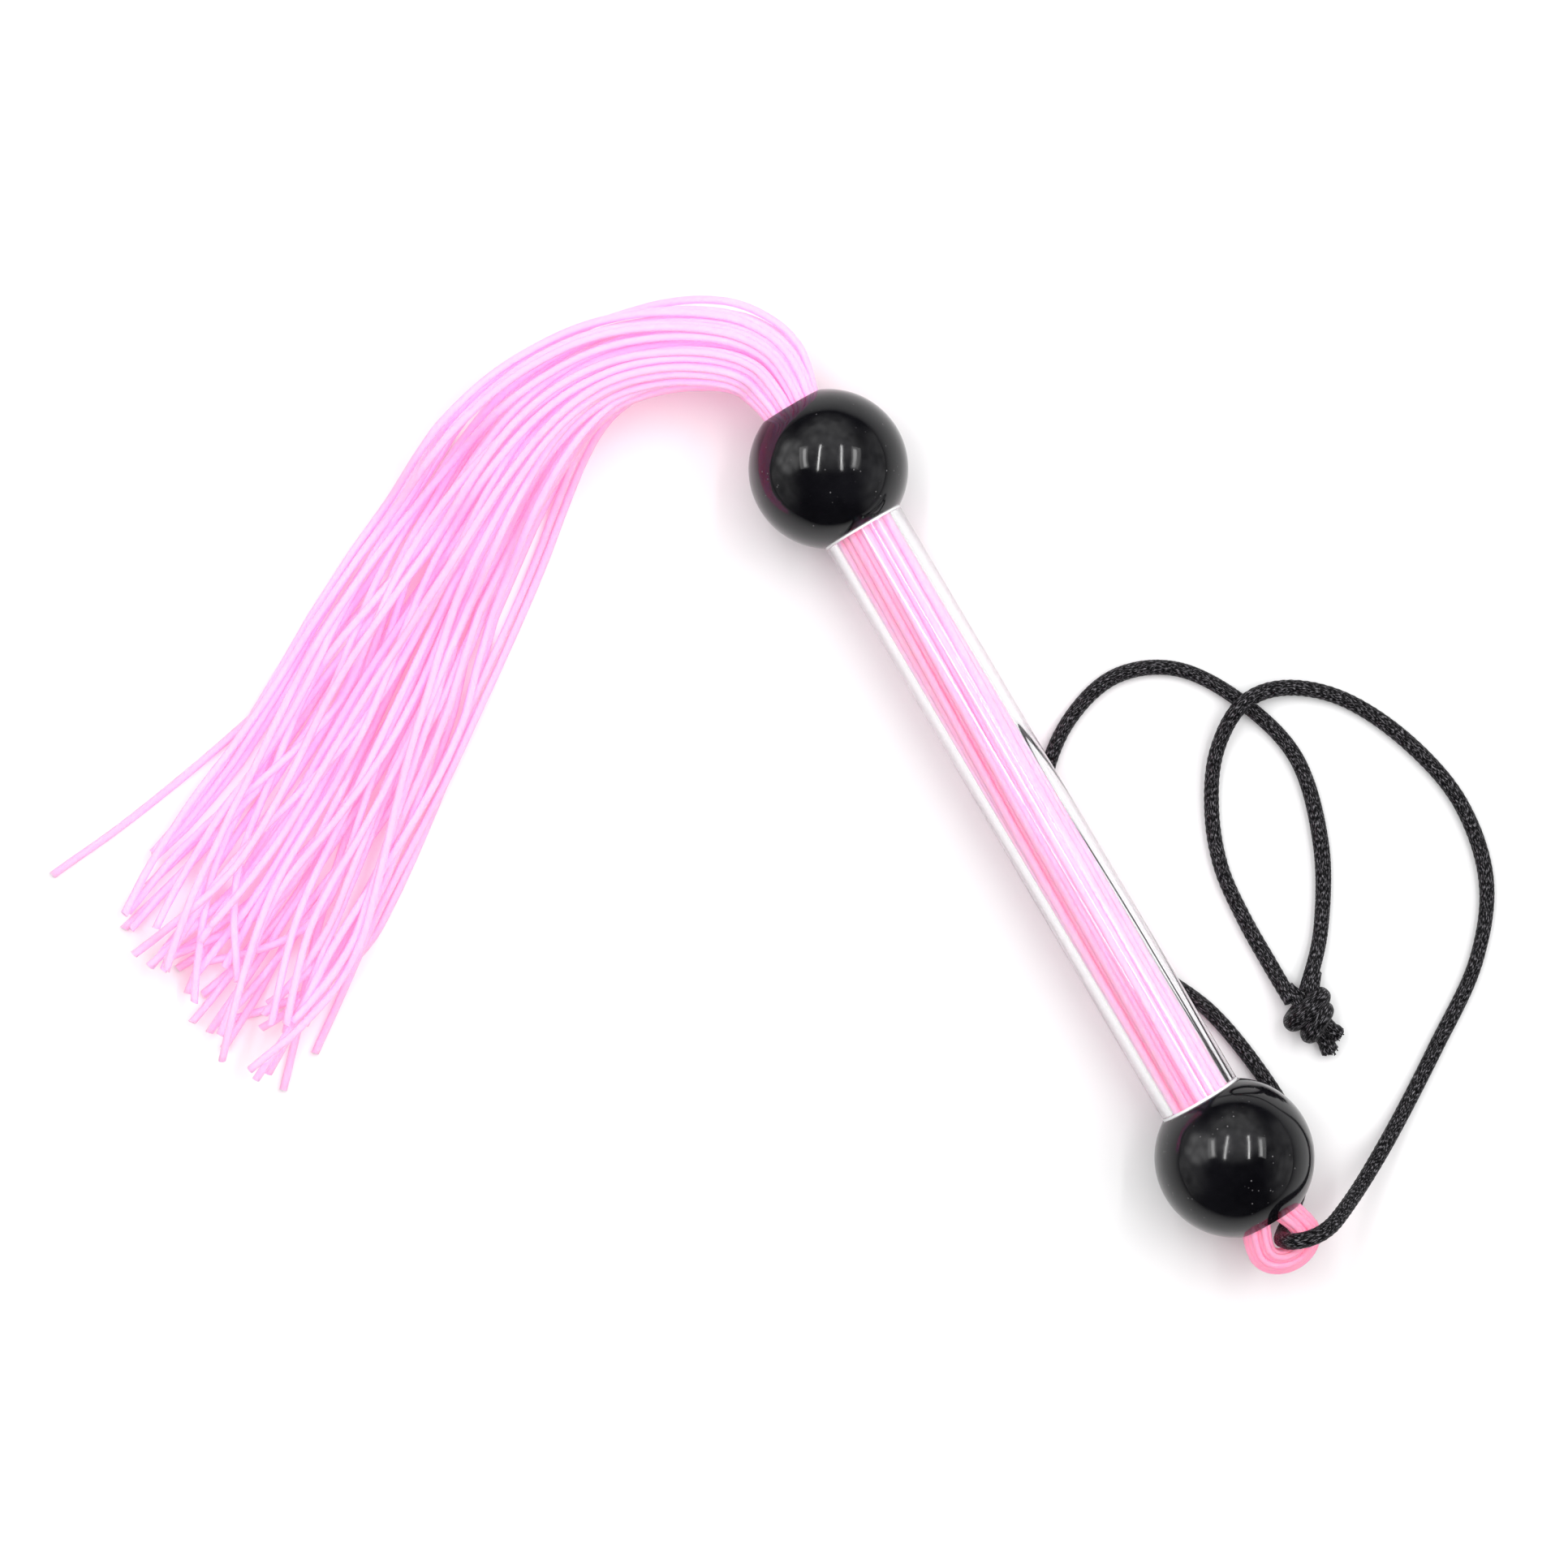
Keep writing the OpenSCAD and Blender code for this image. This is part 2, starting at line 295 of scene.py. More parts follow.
def strand_finish(name, pale, rosy, folded=None):
    """Soft translucent pink rubber with faint lengthwise drawing marks. folded is a painted shade: a
    darker shade painted in a streak down one side of the grip and round the eye, where the strands lie
    in shade."""
    f = Finish(name, Subsurface_Weight=0.85, Subsurface_Scale=0.0016,
               Subsurface_Radius=(1.0, 0.36, 0.55), IOR=1.37, Specular_IOR_Level=0.4)
    clouds = f.noise(f.surface((1, 1, 1)), 0.9, 3)
    colour = f.blend(clouds, rosy, pale)
    if folded:
        where = f.node("ShaderNodeTexCoord").outputs["Object"]
        parts = f.node("ShaderNodeSeparateXYZ")
        f.link(where, parts.inputs[0])
        # Painted shade: a streak down one side of the grip and the end round the eye take the darker
        # pink.
        side = f.add(f.spread(parts.outputs[1], 0.0002, 0.0022, 0, 1),
                     f.spread(parts.outputs[1], 0.0040, 0.0052, 1, 0), "MULTIPLY")
        eye_shade_mask = f.spread(parts.outputs[0], -0.090, -0.083, 1, 0)
        painted_shade_mask = f.add(eye_shade_mask, f.add(side, 0.55, "MULTIPLY"), "MAXIMUM")
        colour = f.blend(painted_shade_mask, colour, folded)
    f.link(colour, f.shader.inputs["Base Color"])
    marks = f.noise(f.surface((26, 0.7, 1)), 1.6, 3)
    f.link(f.spread(marks, 0.3, 0.7, 0.44, 0.58), f.shader.inputs["Roughness"])
    f.bump(marks, 0.00005, 0.4)
    return f.material


def ball_finish():
    """Gloss black plastic with a slightly uneven polish, soft waves and a little dust."""
    f = Finish("ball_plastic", IOR=1.5)
    where = f.node("ShaderNodeTexCoord").outputs["Object"]
    dust = f.node("ShaderNodeTexVoronoi", Scale=820.0, Randomness=1.0)
    f.link(where, dust.inputs["Vector"])
    few = f.noise(where, 260, 1)
    speck = f.spread(dust.outputs["Distance"], 0.06, 0.16, 1, 0)
    some = f.spread(few, 0.54, 0.66, 0, 1)
    dusty = f.add(speck, some, "MULTIPLY")
    haze = f.spread(f.noise(where, 120, 5, 0.65), 0.35, 0.75, 0, 1)
    base = f.blend(haze, (0.0022, 0.0021, 0.0030, 1), (0.0062, 0.0061, 0.0080, 1))
    f.link(f.blend(dusty, base, (0.16, 0.155, 0.16, 1)), f.shader.inputs["Base Color"])
    smear = f.spread(haze, 0, 1, 0.05, 0.16)
    f.link(f.add(smear, f.add(dusty, 0.4, "MULTIPLY")), f.shader.inputs["Roughness"])
    f.bump(f.noise(where, 75, 2), 0.0006, 0.35)
    return f.material


def clear_finish():
    """Clear drawn acrylic: a smooth glass with very faint lengthwise draw lines."""
    f = Finish("clear_tube", Base_Color=(0.985, 0.99, 0.995, 1), Transmission_Weight=1.0, IOR=1.46,
               Roughness=0.0)
    lines = f.noise(f.surface((9, 0.12, 1)), 2.0, 2)
    f.bump(lines, 0.00003, 0.06)
    return f.material


def frosted_finish():
    """The saw-cut ends of the tube, which catch the light as a white ring."""
    f = Finish("tube_cut_end", IOR=1.46)
    grit = f.noise(f.surface((12, 12, 1)), 5.0, 3)
    colour = f.blend(grit, (0.93, 0.92, 0.94, 1), (1, 1, 1, 1))
    f.link(colour, f.shader.inputs["Base Color"])
    f.link(f.spread(grit, 0.3, 0.7, 0.5, 0.7), f.shader.inputs["Roughness"])
    f.bump(grit, 0.00005, 0.5)
    return f.material


def cord_finish():
    """Black satin braid: dark fibre with fine painted glints, highlights painted into its colour,
    brighter in bands along the plait.
    """
    f = Finish("cord_satin", Anisotropic=0.5, IOR=1.2)
    fibre = f.noise(f.surface((45, 16, 1)), 1.0, 3, 0.6)
    bump_and_glint_noise = f.noise(f.surface((46, 13, 1), 0.22), 1.0, 3)
    # Painted glints: the specks and the bands along the cord are highlights painted into the base
    # colour.
    painted_glint_wave = f.node("ShaderNodeTexWave", bands_direction="Y", Scale=2.1, Distortion=2.5, Detail=2.0)
    f.link(f.surface((1, 1, 1)), painted_glint_wave.inputs["Vector"])
    painted_glint_bands = f.spread(painted_glint_wave.outputs["Fac"], 0.1, 0.9, 0.6, 1)
    painted_glint = f.add(f.spread(bump_and_glint_noise, 0.50, 0.72, 0, 1), painted_glint_bands, "MULTIPLY")
    colour = f.blend(painted_glint, (0.0014, 0.0013, 0.0018, 1), (0.24, 0.232, 0.25, 1))
    f.link(colour, f.shader.inputs["Base Color"])
    f.link(f.spread(fibre, 0.3, 0.7, 0.60, 0.34), f.shader.inputs["Roughness"])
    f.bump(f.add(fibre, bump_and_glint_noise), 0.00008, 0.7)
    return f.material


def floor_finish():
    """Matt white paper, a very little uneven. In reflections its colour is painted darker away from the
    handle: a painted falloff, as paper dims outside a studio's pool of light."""
    f = Finish("floor_paper", Roughness=0.9)
    where = f.node("ShaderNodeTexCoord").outputs["Object"]
    tooth = f.noise(where, 9, 3)
    paper = f.blend(tooth, (0.88, 0.88, 0.885, 1), (0.90, 0.90, 0.90, 1))
    parts = f.node("ShaderNodeSeparateXYZ")
    f.link(where, parts.inputs[0])
    past_end = f.add(f.add(parts.outputs[0], 0, "ABSOLUTE"), 0.075, "SUBTRACT")
    out = f.add(f.add(past_end, 0, "MAXIMUM"), 2, "POWER")
    away = f.add(f.add(out, f.add(parts.outputs[1], 2, "POWER")), 0.5, "POWER")
    # Painted shade: in reflections the paper's colour is painted darker with distance from the handle.
    painted_falloff = f.add(away, f.add(away, POOL), "DIVIDE")
    mirrored = f.node("ShaderNodeLightPath").outputs["Is Glossy Ray"]
    f.link(f.blend(f.add(painted_falloff, mirrored, "MULTIPLY"), paper, (0, 0, 0, 1)),
           f.shader.inputs["Base Color"])
    return f.material


# How far from the handle, in metres, the floor's painted falloff has darkened it by half in
# reflections.
POOL = 0.16
STRAND = strand_finish("strand_rubber", (1.0, 0.60, 0.84, 1), (1.0, 0.55, 0.79, 1))
# A copy of the rubber painted in a darker shade, for the strands of the lower rows.
STRAND_PAINTED_SHADE = strand_finish("strand_rubber_painted_shade", (1.0, 0.56, 0.77, 1), (1.0, 0.51, 0.73, 1))
# The held strands' copy is painted a little paler, with a painted shade along one side of the grip and
# round the eye.
HELD = strand_finish("strand_rubber_held", (1.0, 0.66, 0.86, 1), (1.0, 0.56, 0.78, 1),
                     (0.95, 0.38, 0.54, 1))
BALL = ball_finish()
CLEAR = clear_finish()
FROSTED = frosted_finish()
CORD = cord_finish()
FLOOR = floor_finish()


# ---------------------------------------------------------------- wrist cord and its knot
CORD_D = 3.0
# The same route as the CAD cord's: from the knot round through the eye and back to the knot.
CORD_LINE = [
    (-56, -24.7, -11.4), (-48, -24.8, -13.1), (-38, -25, -13.4), (-27.5, -26.2, -13.4),
    (-17.5, -30, -13.2), (-8.3, -36.3, -12), (-2.8, -45, -10), (-4.3, -54, -12.2),
    (-12, -62.6, -13.4), (-25, -68.8, -13.4), (-40, -71.5, -13.4), (-55.3, -68.2, -13.4),
    (-67.6, -58.5, -13.4), (-77.5, -44, -13.4), (-85.6, -31, -12), (-91.3, -19.7, -6),
    (-94.2, -11.3, 2.8), (-94.8, -7.4, 6.5), (-94.4, -4, 7.8), (-93.4, -1, 6.2),
    (-92.8, 0, 2), (-92.8, 0, -2.5), (-92.2, -1.2, -6.4), (-90.2, -4.6, -10),
    (-85, -10, -13), (-76, -13, -13.4), (-64, -12.8, -13.4), (-50, -10.5, -13.4),
    (-38, -5.5, -13.4), (-22, 0.5, -13.4), (-7, 0.8, -13.4), (3, -5, -13.4),
    (11, -15, -13.4), (14, -27, -13.4), (9.3, -38, -13.4), (-2.2, -45.4, -13.4),
    (-17, -49, -13.4), (-33.4, -44.7, -13.4), (-47.3, -36.4, -13.1), (-55.8, -28, -11.4),
]
PLAIT_STARTS = 6
PLAIT_LAY = 9.0
PLAIT_HEIGHT = 0.08
CORD_STEP = 0.3


def plait(path, sides, core, height=PLAIT_HEIGHT):
    """Radius of each point and side of a round plaited cord: two sets of yarns that cross."""
    s = run(path)[:, None]
    angle = (2 * np.pi * np.arange(sides) / sides)[None, :]
    turn = 2 * np.pi * s / PLAIT_LAY
    left = np.cos(PLAIT_STARTS * (angle + turn) / 2) ** 2
    right = np.cos(PLAIT_STARTS * (angle - turn) / 2) ** 2
    over = 0.5 + 0.5 * np.sign(np.sin(PLAIT_STARTS * angle) * np.sin(PLAIT_STARTS * turn))
    return core - height + height * (left * over + right * (1 - over))


def plaited(name, path, sides=32, core=CORD_D / 2):
    """The cord, a little slacker and fatter in places, as a soft braid is where it has been bent."""
    path = even(path, CORD_STEP)
    s = run(path)
    slack = 1 + 0.045 * np.sin(s / 11 + 1.2) * np.sin(s / 29) + 0.02 * np.sin(s / 4.7)
    return tube(name, path, plait(path, sides, core) * slack[:, None], sides, CORD)


cord_path = smooth_line(CORD_LINE, 12)
cord = plaited("wrist_loop_cord", cord_path)

# Each turn of the knot: the middle of its ring, the point its band runs to, half its height, and
# the cord's own thickness there.
KNOT_TURNS = [
    ((-58.7, -26.4), (-57.8, -29.7), 2.6, 2.0),
    ((-61.8, -26.8), (-60.4, -29), 2.35, 1.85),
]
KNOT_MIDDLE_Z = -10.5
# The two ends that go through the turns, and come out as short frayed tails.
KNOT_ENDS = [
    [(-53.5, -31.2, -12.6), (-56, -29.2, -11.2), (-58.6, -28.2, -9.9), (-61.4, -28, -10.2),
     (-63.6, -28.2, -11), (-66, -29, -12)],
    [(-53.5, -25.2, -12.4), (-56.2, -25.9, -11.6), (-59, -26, -11), (-62, -26.2, -11.6),
     (-65, -26.4, -12.6), (-68, -26.3, -13.2)],
]


def knot_ring(middle, tip, half_height):
    """One turn of the knot: a ring that stands on its long side."""
    middle, tip = np.array([*middle, KNOT_MIDDLE_Z]), np.array([*tip, KNOT_MIDDLE_Z])
    along = unit(tip - middle)
    lean = np.cross([0, 0, 1.0], along)
    a = np.linspace(-0.62 * np.pi, 1.62 * np.pi, 56)[:, None]
    inward = 1 - 0.4 * ramp(np.abs(a - 0.5 * np.pi), 0.85 * np.pi, 1.12 * np.pi)
    ring = middle + inward * (np.cos(a) * np.linalg.norm(tip - middle) * along
                              + np.sin(a) * np.array([0, 0, half_height]))
    return ring + 0.9 * lean * (a / np.pi - 0.5) * 0.5


def frayed(path, rng):
    """Loose threads at the cut end of a cord, as lines."""
    way, side, up = (v[-1] for v in frames(path))
    for _ in range(34):
        a = rng.uniform(0, 2 * np.pi)
        out = 1.4 * math.sqrt(rng.random())
        root = path[-1] + out * (math.cos(a) * side + math.sin(a) * up) - 0.3 * way
        lean = 0.4 * rng.normal(size=3) + 0.25 * (root - path[-1])
        tip = root + way * rng.uniform(0.35, 0.9) + 0.35 * lean
        middle = (root + tip) / 2 + 0.1 * rng.normal(size=3)
        hair = np.array([root, middle, tip])
        hair[:, 2] = np.maximum(hair[:, 2], FLOOR_Z + 0.12)
        yield smooth_line(hair, 4)


def make_knot():
    """The knot in the doubled cord, simplified: two broad turns side by side round both ends."""
    rng = np.random.default_rng(11)
    tubes = []
    for middle, tip, half_height, thick in KNOT_TURNS:
        ring = even(knot_ring(middle, tip, half_height), CORD_STEP)
        tubes.append((ring, plait(ring, 32, thick, 0.05), 32))
    for line in KNOT_ENDS:
        path = even(smooth_line(line, 8), CORD_STEP)
        swell = 1 + 0.14 * ramp(run(path), run(path)[-1] - 2.2, run(path)[-1] - 0.6)
        radius = plait(path, 32, 1.52, 0.07) * swell[:, None]
        radius[-1] *= 0.90 + 0.16 * rng.random(32)
        tubes.append((path, radius, 32))
        tubes += [(hair, 0.11, 6) for hair in frayed(path, rng)]
    points, faces, uvs, flat = [], [], [], []
    count = 0
    for path, radius, sides in tubes:
        made = tube_parts(path, radius, sides, 0.0, count)
        points.append(made[0])
        flat += [k + len(faces) for k in made[3]]
        faces += made[1]
        uvs += made[2]
        count += len(made[0])
    return add_mesh("overhand_knot", np.vstack(points), faces, uvs, CORD, flat)


knot = make_knot()
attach(cord, "wrist_loop")
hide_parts("wrist_cord")
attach(knot, "wrist_loop")
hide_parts("cord_knot")
run(cord_path)[-1] * MM


# ---------------------------------------------------------------- balls and tube
BALL_R, BORE_R, SEAT_R, SEAT_X = 15.0, 6.2, 8.15, 12.0
BALL_X = 75.0
TUBE_R, TUBE_BORE_R, TUBE_HALF = 8.0, 6.0, 63.0
EDGE = 0.18


def make_ball(name, node, middle_x, seat_side):
    """A drilled ball with softly broken edges, and the seat that takes the tube."""
    mouth = math.asin((BORE_R + EDGE) / BALL_R)
    seat = math.asin((SEAT_R + 0.06) / BALL_R)
    arc = np.linspace(mouth, math.pi - seat, 72)
    outside = [(BALL_R * math.cos(a), BALL_R * math.sin(a)) for a in arc]
    lip_x = BALL_R * math.cos(math.asin(BORE_R / BALL_R)) - EDGE
    seat_lip = -BALL_R * math.cos(math.asin(SEAT_R / BALL_R)) + 0.08
    inside = [(seat_lip, SEAT_R), (-SEAT_X, SEAT_R), (-SEAT_X, BORE_R), (0, BORE_R),
              (lip_x, BORE_R), (lip_x + 0.7 * EDGE, BORE_R + 0.35 * EDGE)]
    profile = [(-seat_side * x, r) for x, r in outside + inside]
    if seat_side > 0:
        profile = profile[::-1]
    ball = lathe(name, profile, middle_x, 160, BALL)
    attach(ball, "handle")
    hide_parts(node)
    return ball


make_ball("ball_upper", "upper_ball", BALL_X, -1)
make_ball("ball_lower", "lower_ball", -BALL_X, 1)

# Rings close to the ends keep the walls' shading straight; the last RIM of each end is frosted.
RIM = 0.95
ALONG = [-TUBE_HALF + RIM, -60, -50, -25, 0, 25, 50, 60, TUBE_HALF - RIM]
tube_profile = [(-TUBE_HALF + EDGE, TUBE_R), (-TUBE_HALF, TUBE_R - EDGE),
                (-TUBE_HALF, TUBE_BORE_R + EDGE), (-TUBE_HALF + EDGE, TUBE_BORE_R)]
tube_profile += [(x, TUBE_BORE_R) for x in [-TUBE_HALF + 0.4, *ALONG, TUBE_HALF - 0.4]]
tube_profile += [(TUBE_HALF - EDGE, TUBE_BORE_R), (TUBE_HALF, TUBE_BORE_R + EDGE),
                 (TUBE_HALF, TUBE_R - EDGE), (TUBE_HALF - EDGE, TUBE_R)]
tube_profile += [(x, TUBE_R) for x in [-TUBE_HALF + 0.4, *ALONG, TUBE_HALF - 0.4][::-1]]
grip = lathe("clear_grip_tube", tube_profile[::-1], 0, 160, CLEAR)
grip.data.materials.append(FROSTED)
for face in grip.data.polygons:
    xs = [abs(grip.data.vertices[v].co.x) for v in face.vertices]
    if min(xs) > (TUBE_HALF - RIM - 0.01) * MM:
        face.material_index = 1
grip.visible_shadow = False
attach(grip, "handle")
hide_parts("grip_tube")


# ---------------------------------------------------------------- strands in the handle
ROWS = [
    (-4, [1]), (-3, [0.5, 1.5, 2.5]), (-2, [1, 2, 3]), (-1, [0.5, 1.5, 2.5, 3.5]), (0, [1, 2, 3]),
    (1, [0.5, 1.5, 2.5, 3.5]), (2, [1, 2, 3]), (3, [0.5, 1.5, 2.5]), (4, [1]),
]
SLOTS = [(row, across) for row, places in ROWS for across in places]
RISE = math.sqrt(3) / 2
HELD_PITCH, FOLD_PITCH = 1.45, 1.3
SPREAD_START, EYE_X, EYE_OPEN, EYE_FLAT = 11.0, 18.0, 2.08, 0.8
HELD_R, FOLD_R = 0.735, 0.655
MOUTH_X = BALL_X + math.sqrt(BALL_R ** 2 - BORE_R ** 2)
JOIN_X = 80.0
TWIST_LINE = ([-90, -84, -62, 0, 62, 76, 90], [0, 0, -20, -6, 14, 0, 0])


def twisted(path):
    """The bundle's slow turn round the handle's axis, undone inside the two balls."""
    turn = np.radians(np.interp(path[:, 0], *TWIST_LINE))
    c, s = np.cos(turn), np.sin(turn)
    return np.stack([path[:, 0], path[:, 1] * c - path[:, 2] * s, path[:, 1] * s + path[:, 2] * c],
                    axis=1)


def fold_side(row, across, side, rng):
    """From the upper ball's bore to the start of the eye, on one side."""
    xs = np.concatenate([np.arange(JOIN_X + 1, -BALL_X - SPREAD_START, -3.0),
                         np.arange(-BALL_X - SPREAD_START, -BALL_X - EYE_X, -0.75)])
    t = ramp(-BALL_X - xs, SPREAD_START, EYE_X)
    pitch = HELD_PITCH + (FOLD_PITCH - HELD_PITCH) * t
    wave = 0.10 * np.sin(xs / rng.uniform(14, 22) + rng.uniform(0, 6.3)) * ramp(70 - abs(xs), 0, 25)
    y = side * (across * pitch + EYE_OPEN * t) + wave
    z = row * RISE * pitch + np.roll(wave, 5) * 0.6
    return np.stack([xs, y * 0.985, z * 0.985], axis=1)


def fold_path(row, across, rng):
    radius = across * FOLD_PITCH + EYE_OPEN
    height = row * RISE * FOLD_PITCH
    a = np.linspace(0, np.pi, 26)
    loop = np.stack([-BALL_X - EYE_X - EYE_FLAT * radius * np.sin(a), radius * np.cos(a),
                     np.full(len(a), height)], axis=1)
    left, right = fold_side(row, across, 1, rng), fold_side(row, across, -1, rng)
    return twisted(np.vstack([left, loop, right[::-1]]))


rng = np.random.default_rng(5)
for i, (row, across) in enumerate(SLOTS):
    path = fold_path(row, across, rng)
    folded = ramp(-BALL_X - path[:, 0], SPREAD_START, EYE_X)
    strand = tube(f"strand_{i + 1:02d}", path, HELD_R + (FOLD_R - HELD_R) * folded, 12, HELD)
    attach(strand, "handle")
    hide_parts(f"strand_{i + 1:02d}_held")


# ---------------------------------------------------------------- the tail's fifty strand ends
# The strands are squeezed thinner in the ball's bore, and swell to full size outside it.
STRAND_R = 0.75
SQUEEZED_R = 0.70
SWELLS_FROM, SWELLS_TO = 9, 26
TAIL_LINE = [
    (88.6, 0), (93, 0), (98, 1), (102.5, 4.5), (106.5, 10.5), (109.5, 18), (111.2, 26), (111, 34.5),
    (108.8, 43.5), (104.8, 53), (99.2, 63.5), (92, 76), (84.2, 89), (76.4, 102), (69, 115.5),
    (62.2, 129), (56, 142.5), (50.5, 156),
]
STATION_STEP = 2.4
START_S = -(MOUTH_X - JOIN_X) - 0.8
stations = np.arange(START_S, 196, STATION_STEP)
middle_line = smooth_line([(x, y, 0) for x, y in TAIL_LINE], 8)
middle_s = run(middle_line)


def middle_at(s):
    """Middle of the tail in plan at s millimetres from the mouth, run on straight at both ends."""
    inside = np.clip(s, 0, middle_s[-1])
    p = np.stack([np.interp(inside, middle_s, middle_line[:, a]) for a in (0, 1)], axis=-1)
    last = unit(middle_line[-1, :2] - middle_line[-3, :2])
    before = np.minimum(s, 0)[:, None] * np.array([1.0, 0])
    after = np.maximum(s - middle_s[-1], 0)[:, None] * last
    return p + before + after


def across_at(s):
    way = unit(middle_at(s + 2) - middle_at(s - 2))
    return np.stack([-way[:, 1], way[:, 0]], axis=1)


STRAY = (10, -1)
STRAY_LEAVES = 100.0
STRAY_SLOPE = 0.295
# Two strands that hang loose inside the bend: distance from the mouth, and offset from the middle.
LOOSE = {
    (2, 1): ([0, 22, 40, 55, 70, 80, 92, 106, 126, 148, 175, 190],
             [2.2, 5.0, 5.6, 9.8, 13.1, 14.8, 15.9, 17.0, 18.2, 19.4, 25, 29]),
    (3, 1): ([0, 22, 40, 55, 70, 80, 92, 106, 126, 148, 175, 190],
             [3.6, 4.2, 4.4, 8.2, 11.5, 13.2, 14.2, 15.2, 16.2, 17.6, 21, 23]),
}
# One strand that bows out of the bend near the mouth.
BOWED = (17, -1)
# Half widths of the tail on its outer and inner sides: distance from the mouth, and width.
REACH_OUT = ([0, 7, 12, 16, 23, 30, 38, 47, 55, 66, 80, 93, 108, 125, 140, 156, 170, 184],
             [5.2, 6.7, 7.8, 8.8, 9.7, 10.6, 11.3, 12.2, 13.8, 15.9, 17.1, 18.8, 20.0, 20.6, 21.2,
              22.8, 25.4, 27.5])
REACH_IN = ([0, 7, 22, 33, 41, 54, 63, 72, 81, 91, 101, 110, 126, 138, 148, 160, 175, 190],
            [5.2, 6.6, 7.4, 7.0, 6.8, 8.0, 8.9, 9.6, 10.6, 11.6, 14.0, 16.6, 18.8, 20.6, 22.0, 24.8,
             29.5, 32])
# Distances along the tail at which the strands have sorted themselves out evenly across it, and how
# much each stretch shuffles their order.
SORTED_AT = [50, 84, 120, 156, 192]
SHUFFLE = [0.5, 0.7, 0.9, 1.6, 2.8]
# How far a strand's row pushes it towards the outside of the bend, at each of those distances.
ROW_LEAN = [0.55, 0.9, 0.9, 0.9, 0.9]
# How long the strands are cut, by their place across the tail at the tip.
CUT_LINE = ([-27, -24, -20, -17, -12, -3, 3, 7, 15, 24, 31],
            [160, 167, 173, 184, 183, 180, 185, 189, 187, 186, 176])
CUT_UNEVEN = 15.0


def even_places(values):
    """Places between -1 and 1, evenly spaced, in the order of the values."""
    rank = np.argsort(np.argsort(values))
    return (2 * rank + 1) / len(values) - 1


def tail_guides(rng):
    """Each strand end's smooth line seen from above, and how far along the tail it is cut.

    Higher rows swing to the outside of the bend, and lower rows come out from under them.
    """
    slots = [(i, side) for i in range(len(SLOTS)) for side in (-1, 1)]
    row = np.array([SLOTS[i][0] for i, side in slots], float)
    place = np.array([SLOTS[i][1] * side for i, side in slots])
    at = [-20, 0, 10, 24]
    share = [place * HELD_PITCH / 5.2] * 3 + [(place * 1.5 - row * 0.35) / 6.6]
    wander = np.zeros(len(slots))
    for distance, shuffle, lean in zip(SORTED_AT, SHUFFLE, ROW_LEAN):
        wander += rng.normal(0, shuffle, len(slots))
        even_share = even_places(place - lean * row + wander)
        at.append(distance)
        share.append(0.84 * even_share + 0.16 * even_share ** 3)
    middle, across = middle_at(stations), across_at(stations)
    out, inner = np.interp(stations, *REACH_OUT), np.interp(stations, *REACH_IN)
    kernel = np.hanning(15)[1:-1]
    guides, cuts = [], []
    for k, slot in enumerate(slots):
        part = np.interp(stations, at, [v[k] for v in share])
        part = np.convolve(np.pad(part, 6, mode="edge"), kernel / kernel.sum(), mode="valid")
        off = part * np.where(part < 0, out, inner)
        off += rng.normal(0, 4.2) * (np.maximum(stations - 138, 0) / 45) ** 2
        cut = np.interp(off[-6], *CUT_LINE) - CUT_UNEVEN * rng.random() ** 1.7
        if slot == STRAY:
            straight = -11 - STRAY_SLOPE * (stations - STRAY_LEAVES)
            off = off + (straight - off) * ramp(stations, 40, STRAY_LEAVES)
            cut = 180
        elif slot in LOOSE:
            loose = np.interp(stations, *LOOSE[slot])
            loose = np.convolve(np.pad(loose, 6, mode="edge"), kernel / kernel.sum(), mode="valid")
            off = off + (loose - off) * ramp(stations, 8, 40)
        elif slot == BOWED:
            bow = -(out + 0.8)
            off = off + (bow - off) * ramp(stations, 0, 9) * (1 - ramp(stations, 14, 44))
        guides.append(middle + across * off[:, None])
        cuts.append(cut)
    return np.array(guides), np.array(cuts)


def support(plan, laid, heights):
    """How high the strands already laid hold up each point of a new one."""
    held = np.full(len(plan), FLOOR_Z + STRAND_R)
    if not len(laid):
        return held
    start, seg = laid[:, :-1], laid[:, 1:] - laid[:, :-1]
    v = plan[:, None, None] - start
    t = np.clip((v * seg).sum(-1) / (seg * seg).sum(-1), 0, 1)
    gap = np.linalg.norm(v - t[..., None] * seg, axis=-1)
    level = heights[:, :-1] + t * (heights[:, 1:] - heights[:, :-1])
    rise = np.sqrt(np.maximum((2 * STRAND_R) ** 2 - gap ** 2, 0))
    top = np.where(gap < 2 * STRAND_R, level + rise, -99.0).max(axis=(1, 2))
    return np.maximum(held, top)


def bridge(z, reach):
    """A smooth line that stays above z, as a springy strand does over what it lies on."""
    wide = np.pad(z, 2 * reach, mode="edge")
    window = np.lib.stride_tricks.sliding_window_view(wide, 2 * reach + 1).max(axis=1)
    kernel = np.hanning(2 * reach + 3)[1:-1]
    return np.convolve(window, kernel / kernel.sum(), mode="valid")


def lay_down(guides, rng):
    """Lays the strands one on another, the lowest rows first, and returns their whole lines."""
    rows = np.array([SLOTS[k // 2][0] for k in range(len(guides))])
    order = np.argsort(rows + rng.normal(0, 0.45, len(rows)), kind="stable")
    laid, heights = [], []
    lines = [None] * len(guides)
    for k in order:
        level = rows[k] * RISE * HELD_PITCH
        hang = level + (FLOOR_Z + STRAND_R - level) * ramp(stations, 3, 50)
        rest = bridge(np.maximum(hang, support(guides[k], np.array(laid), np.array(heights))), 3)
        z = level + (rest - level) * ramp(stations, 2, 14)
        laid.append(guides[k])
        heights.append(z)
        lines[k] = np.column_stack([guides[k], z])
    return lines


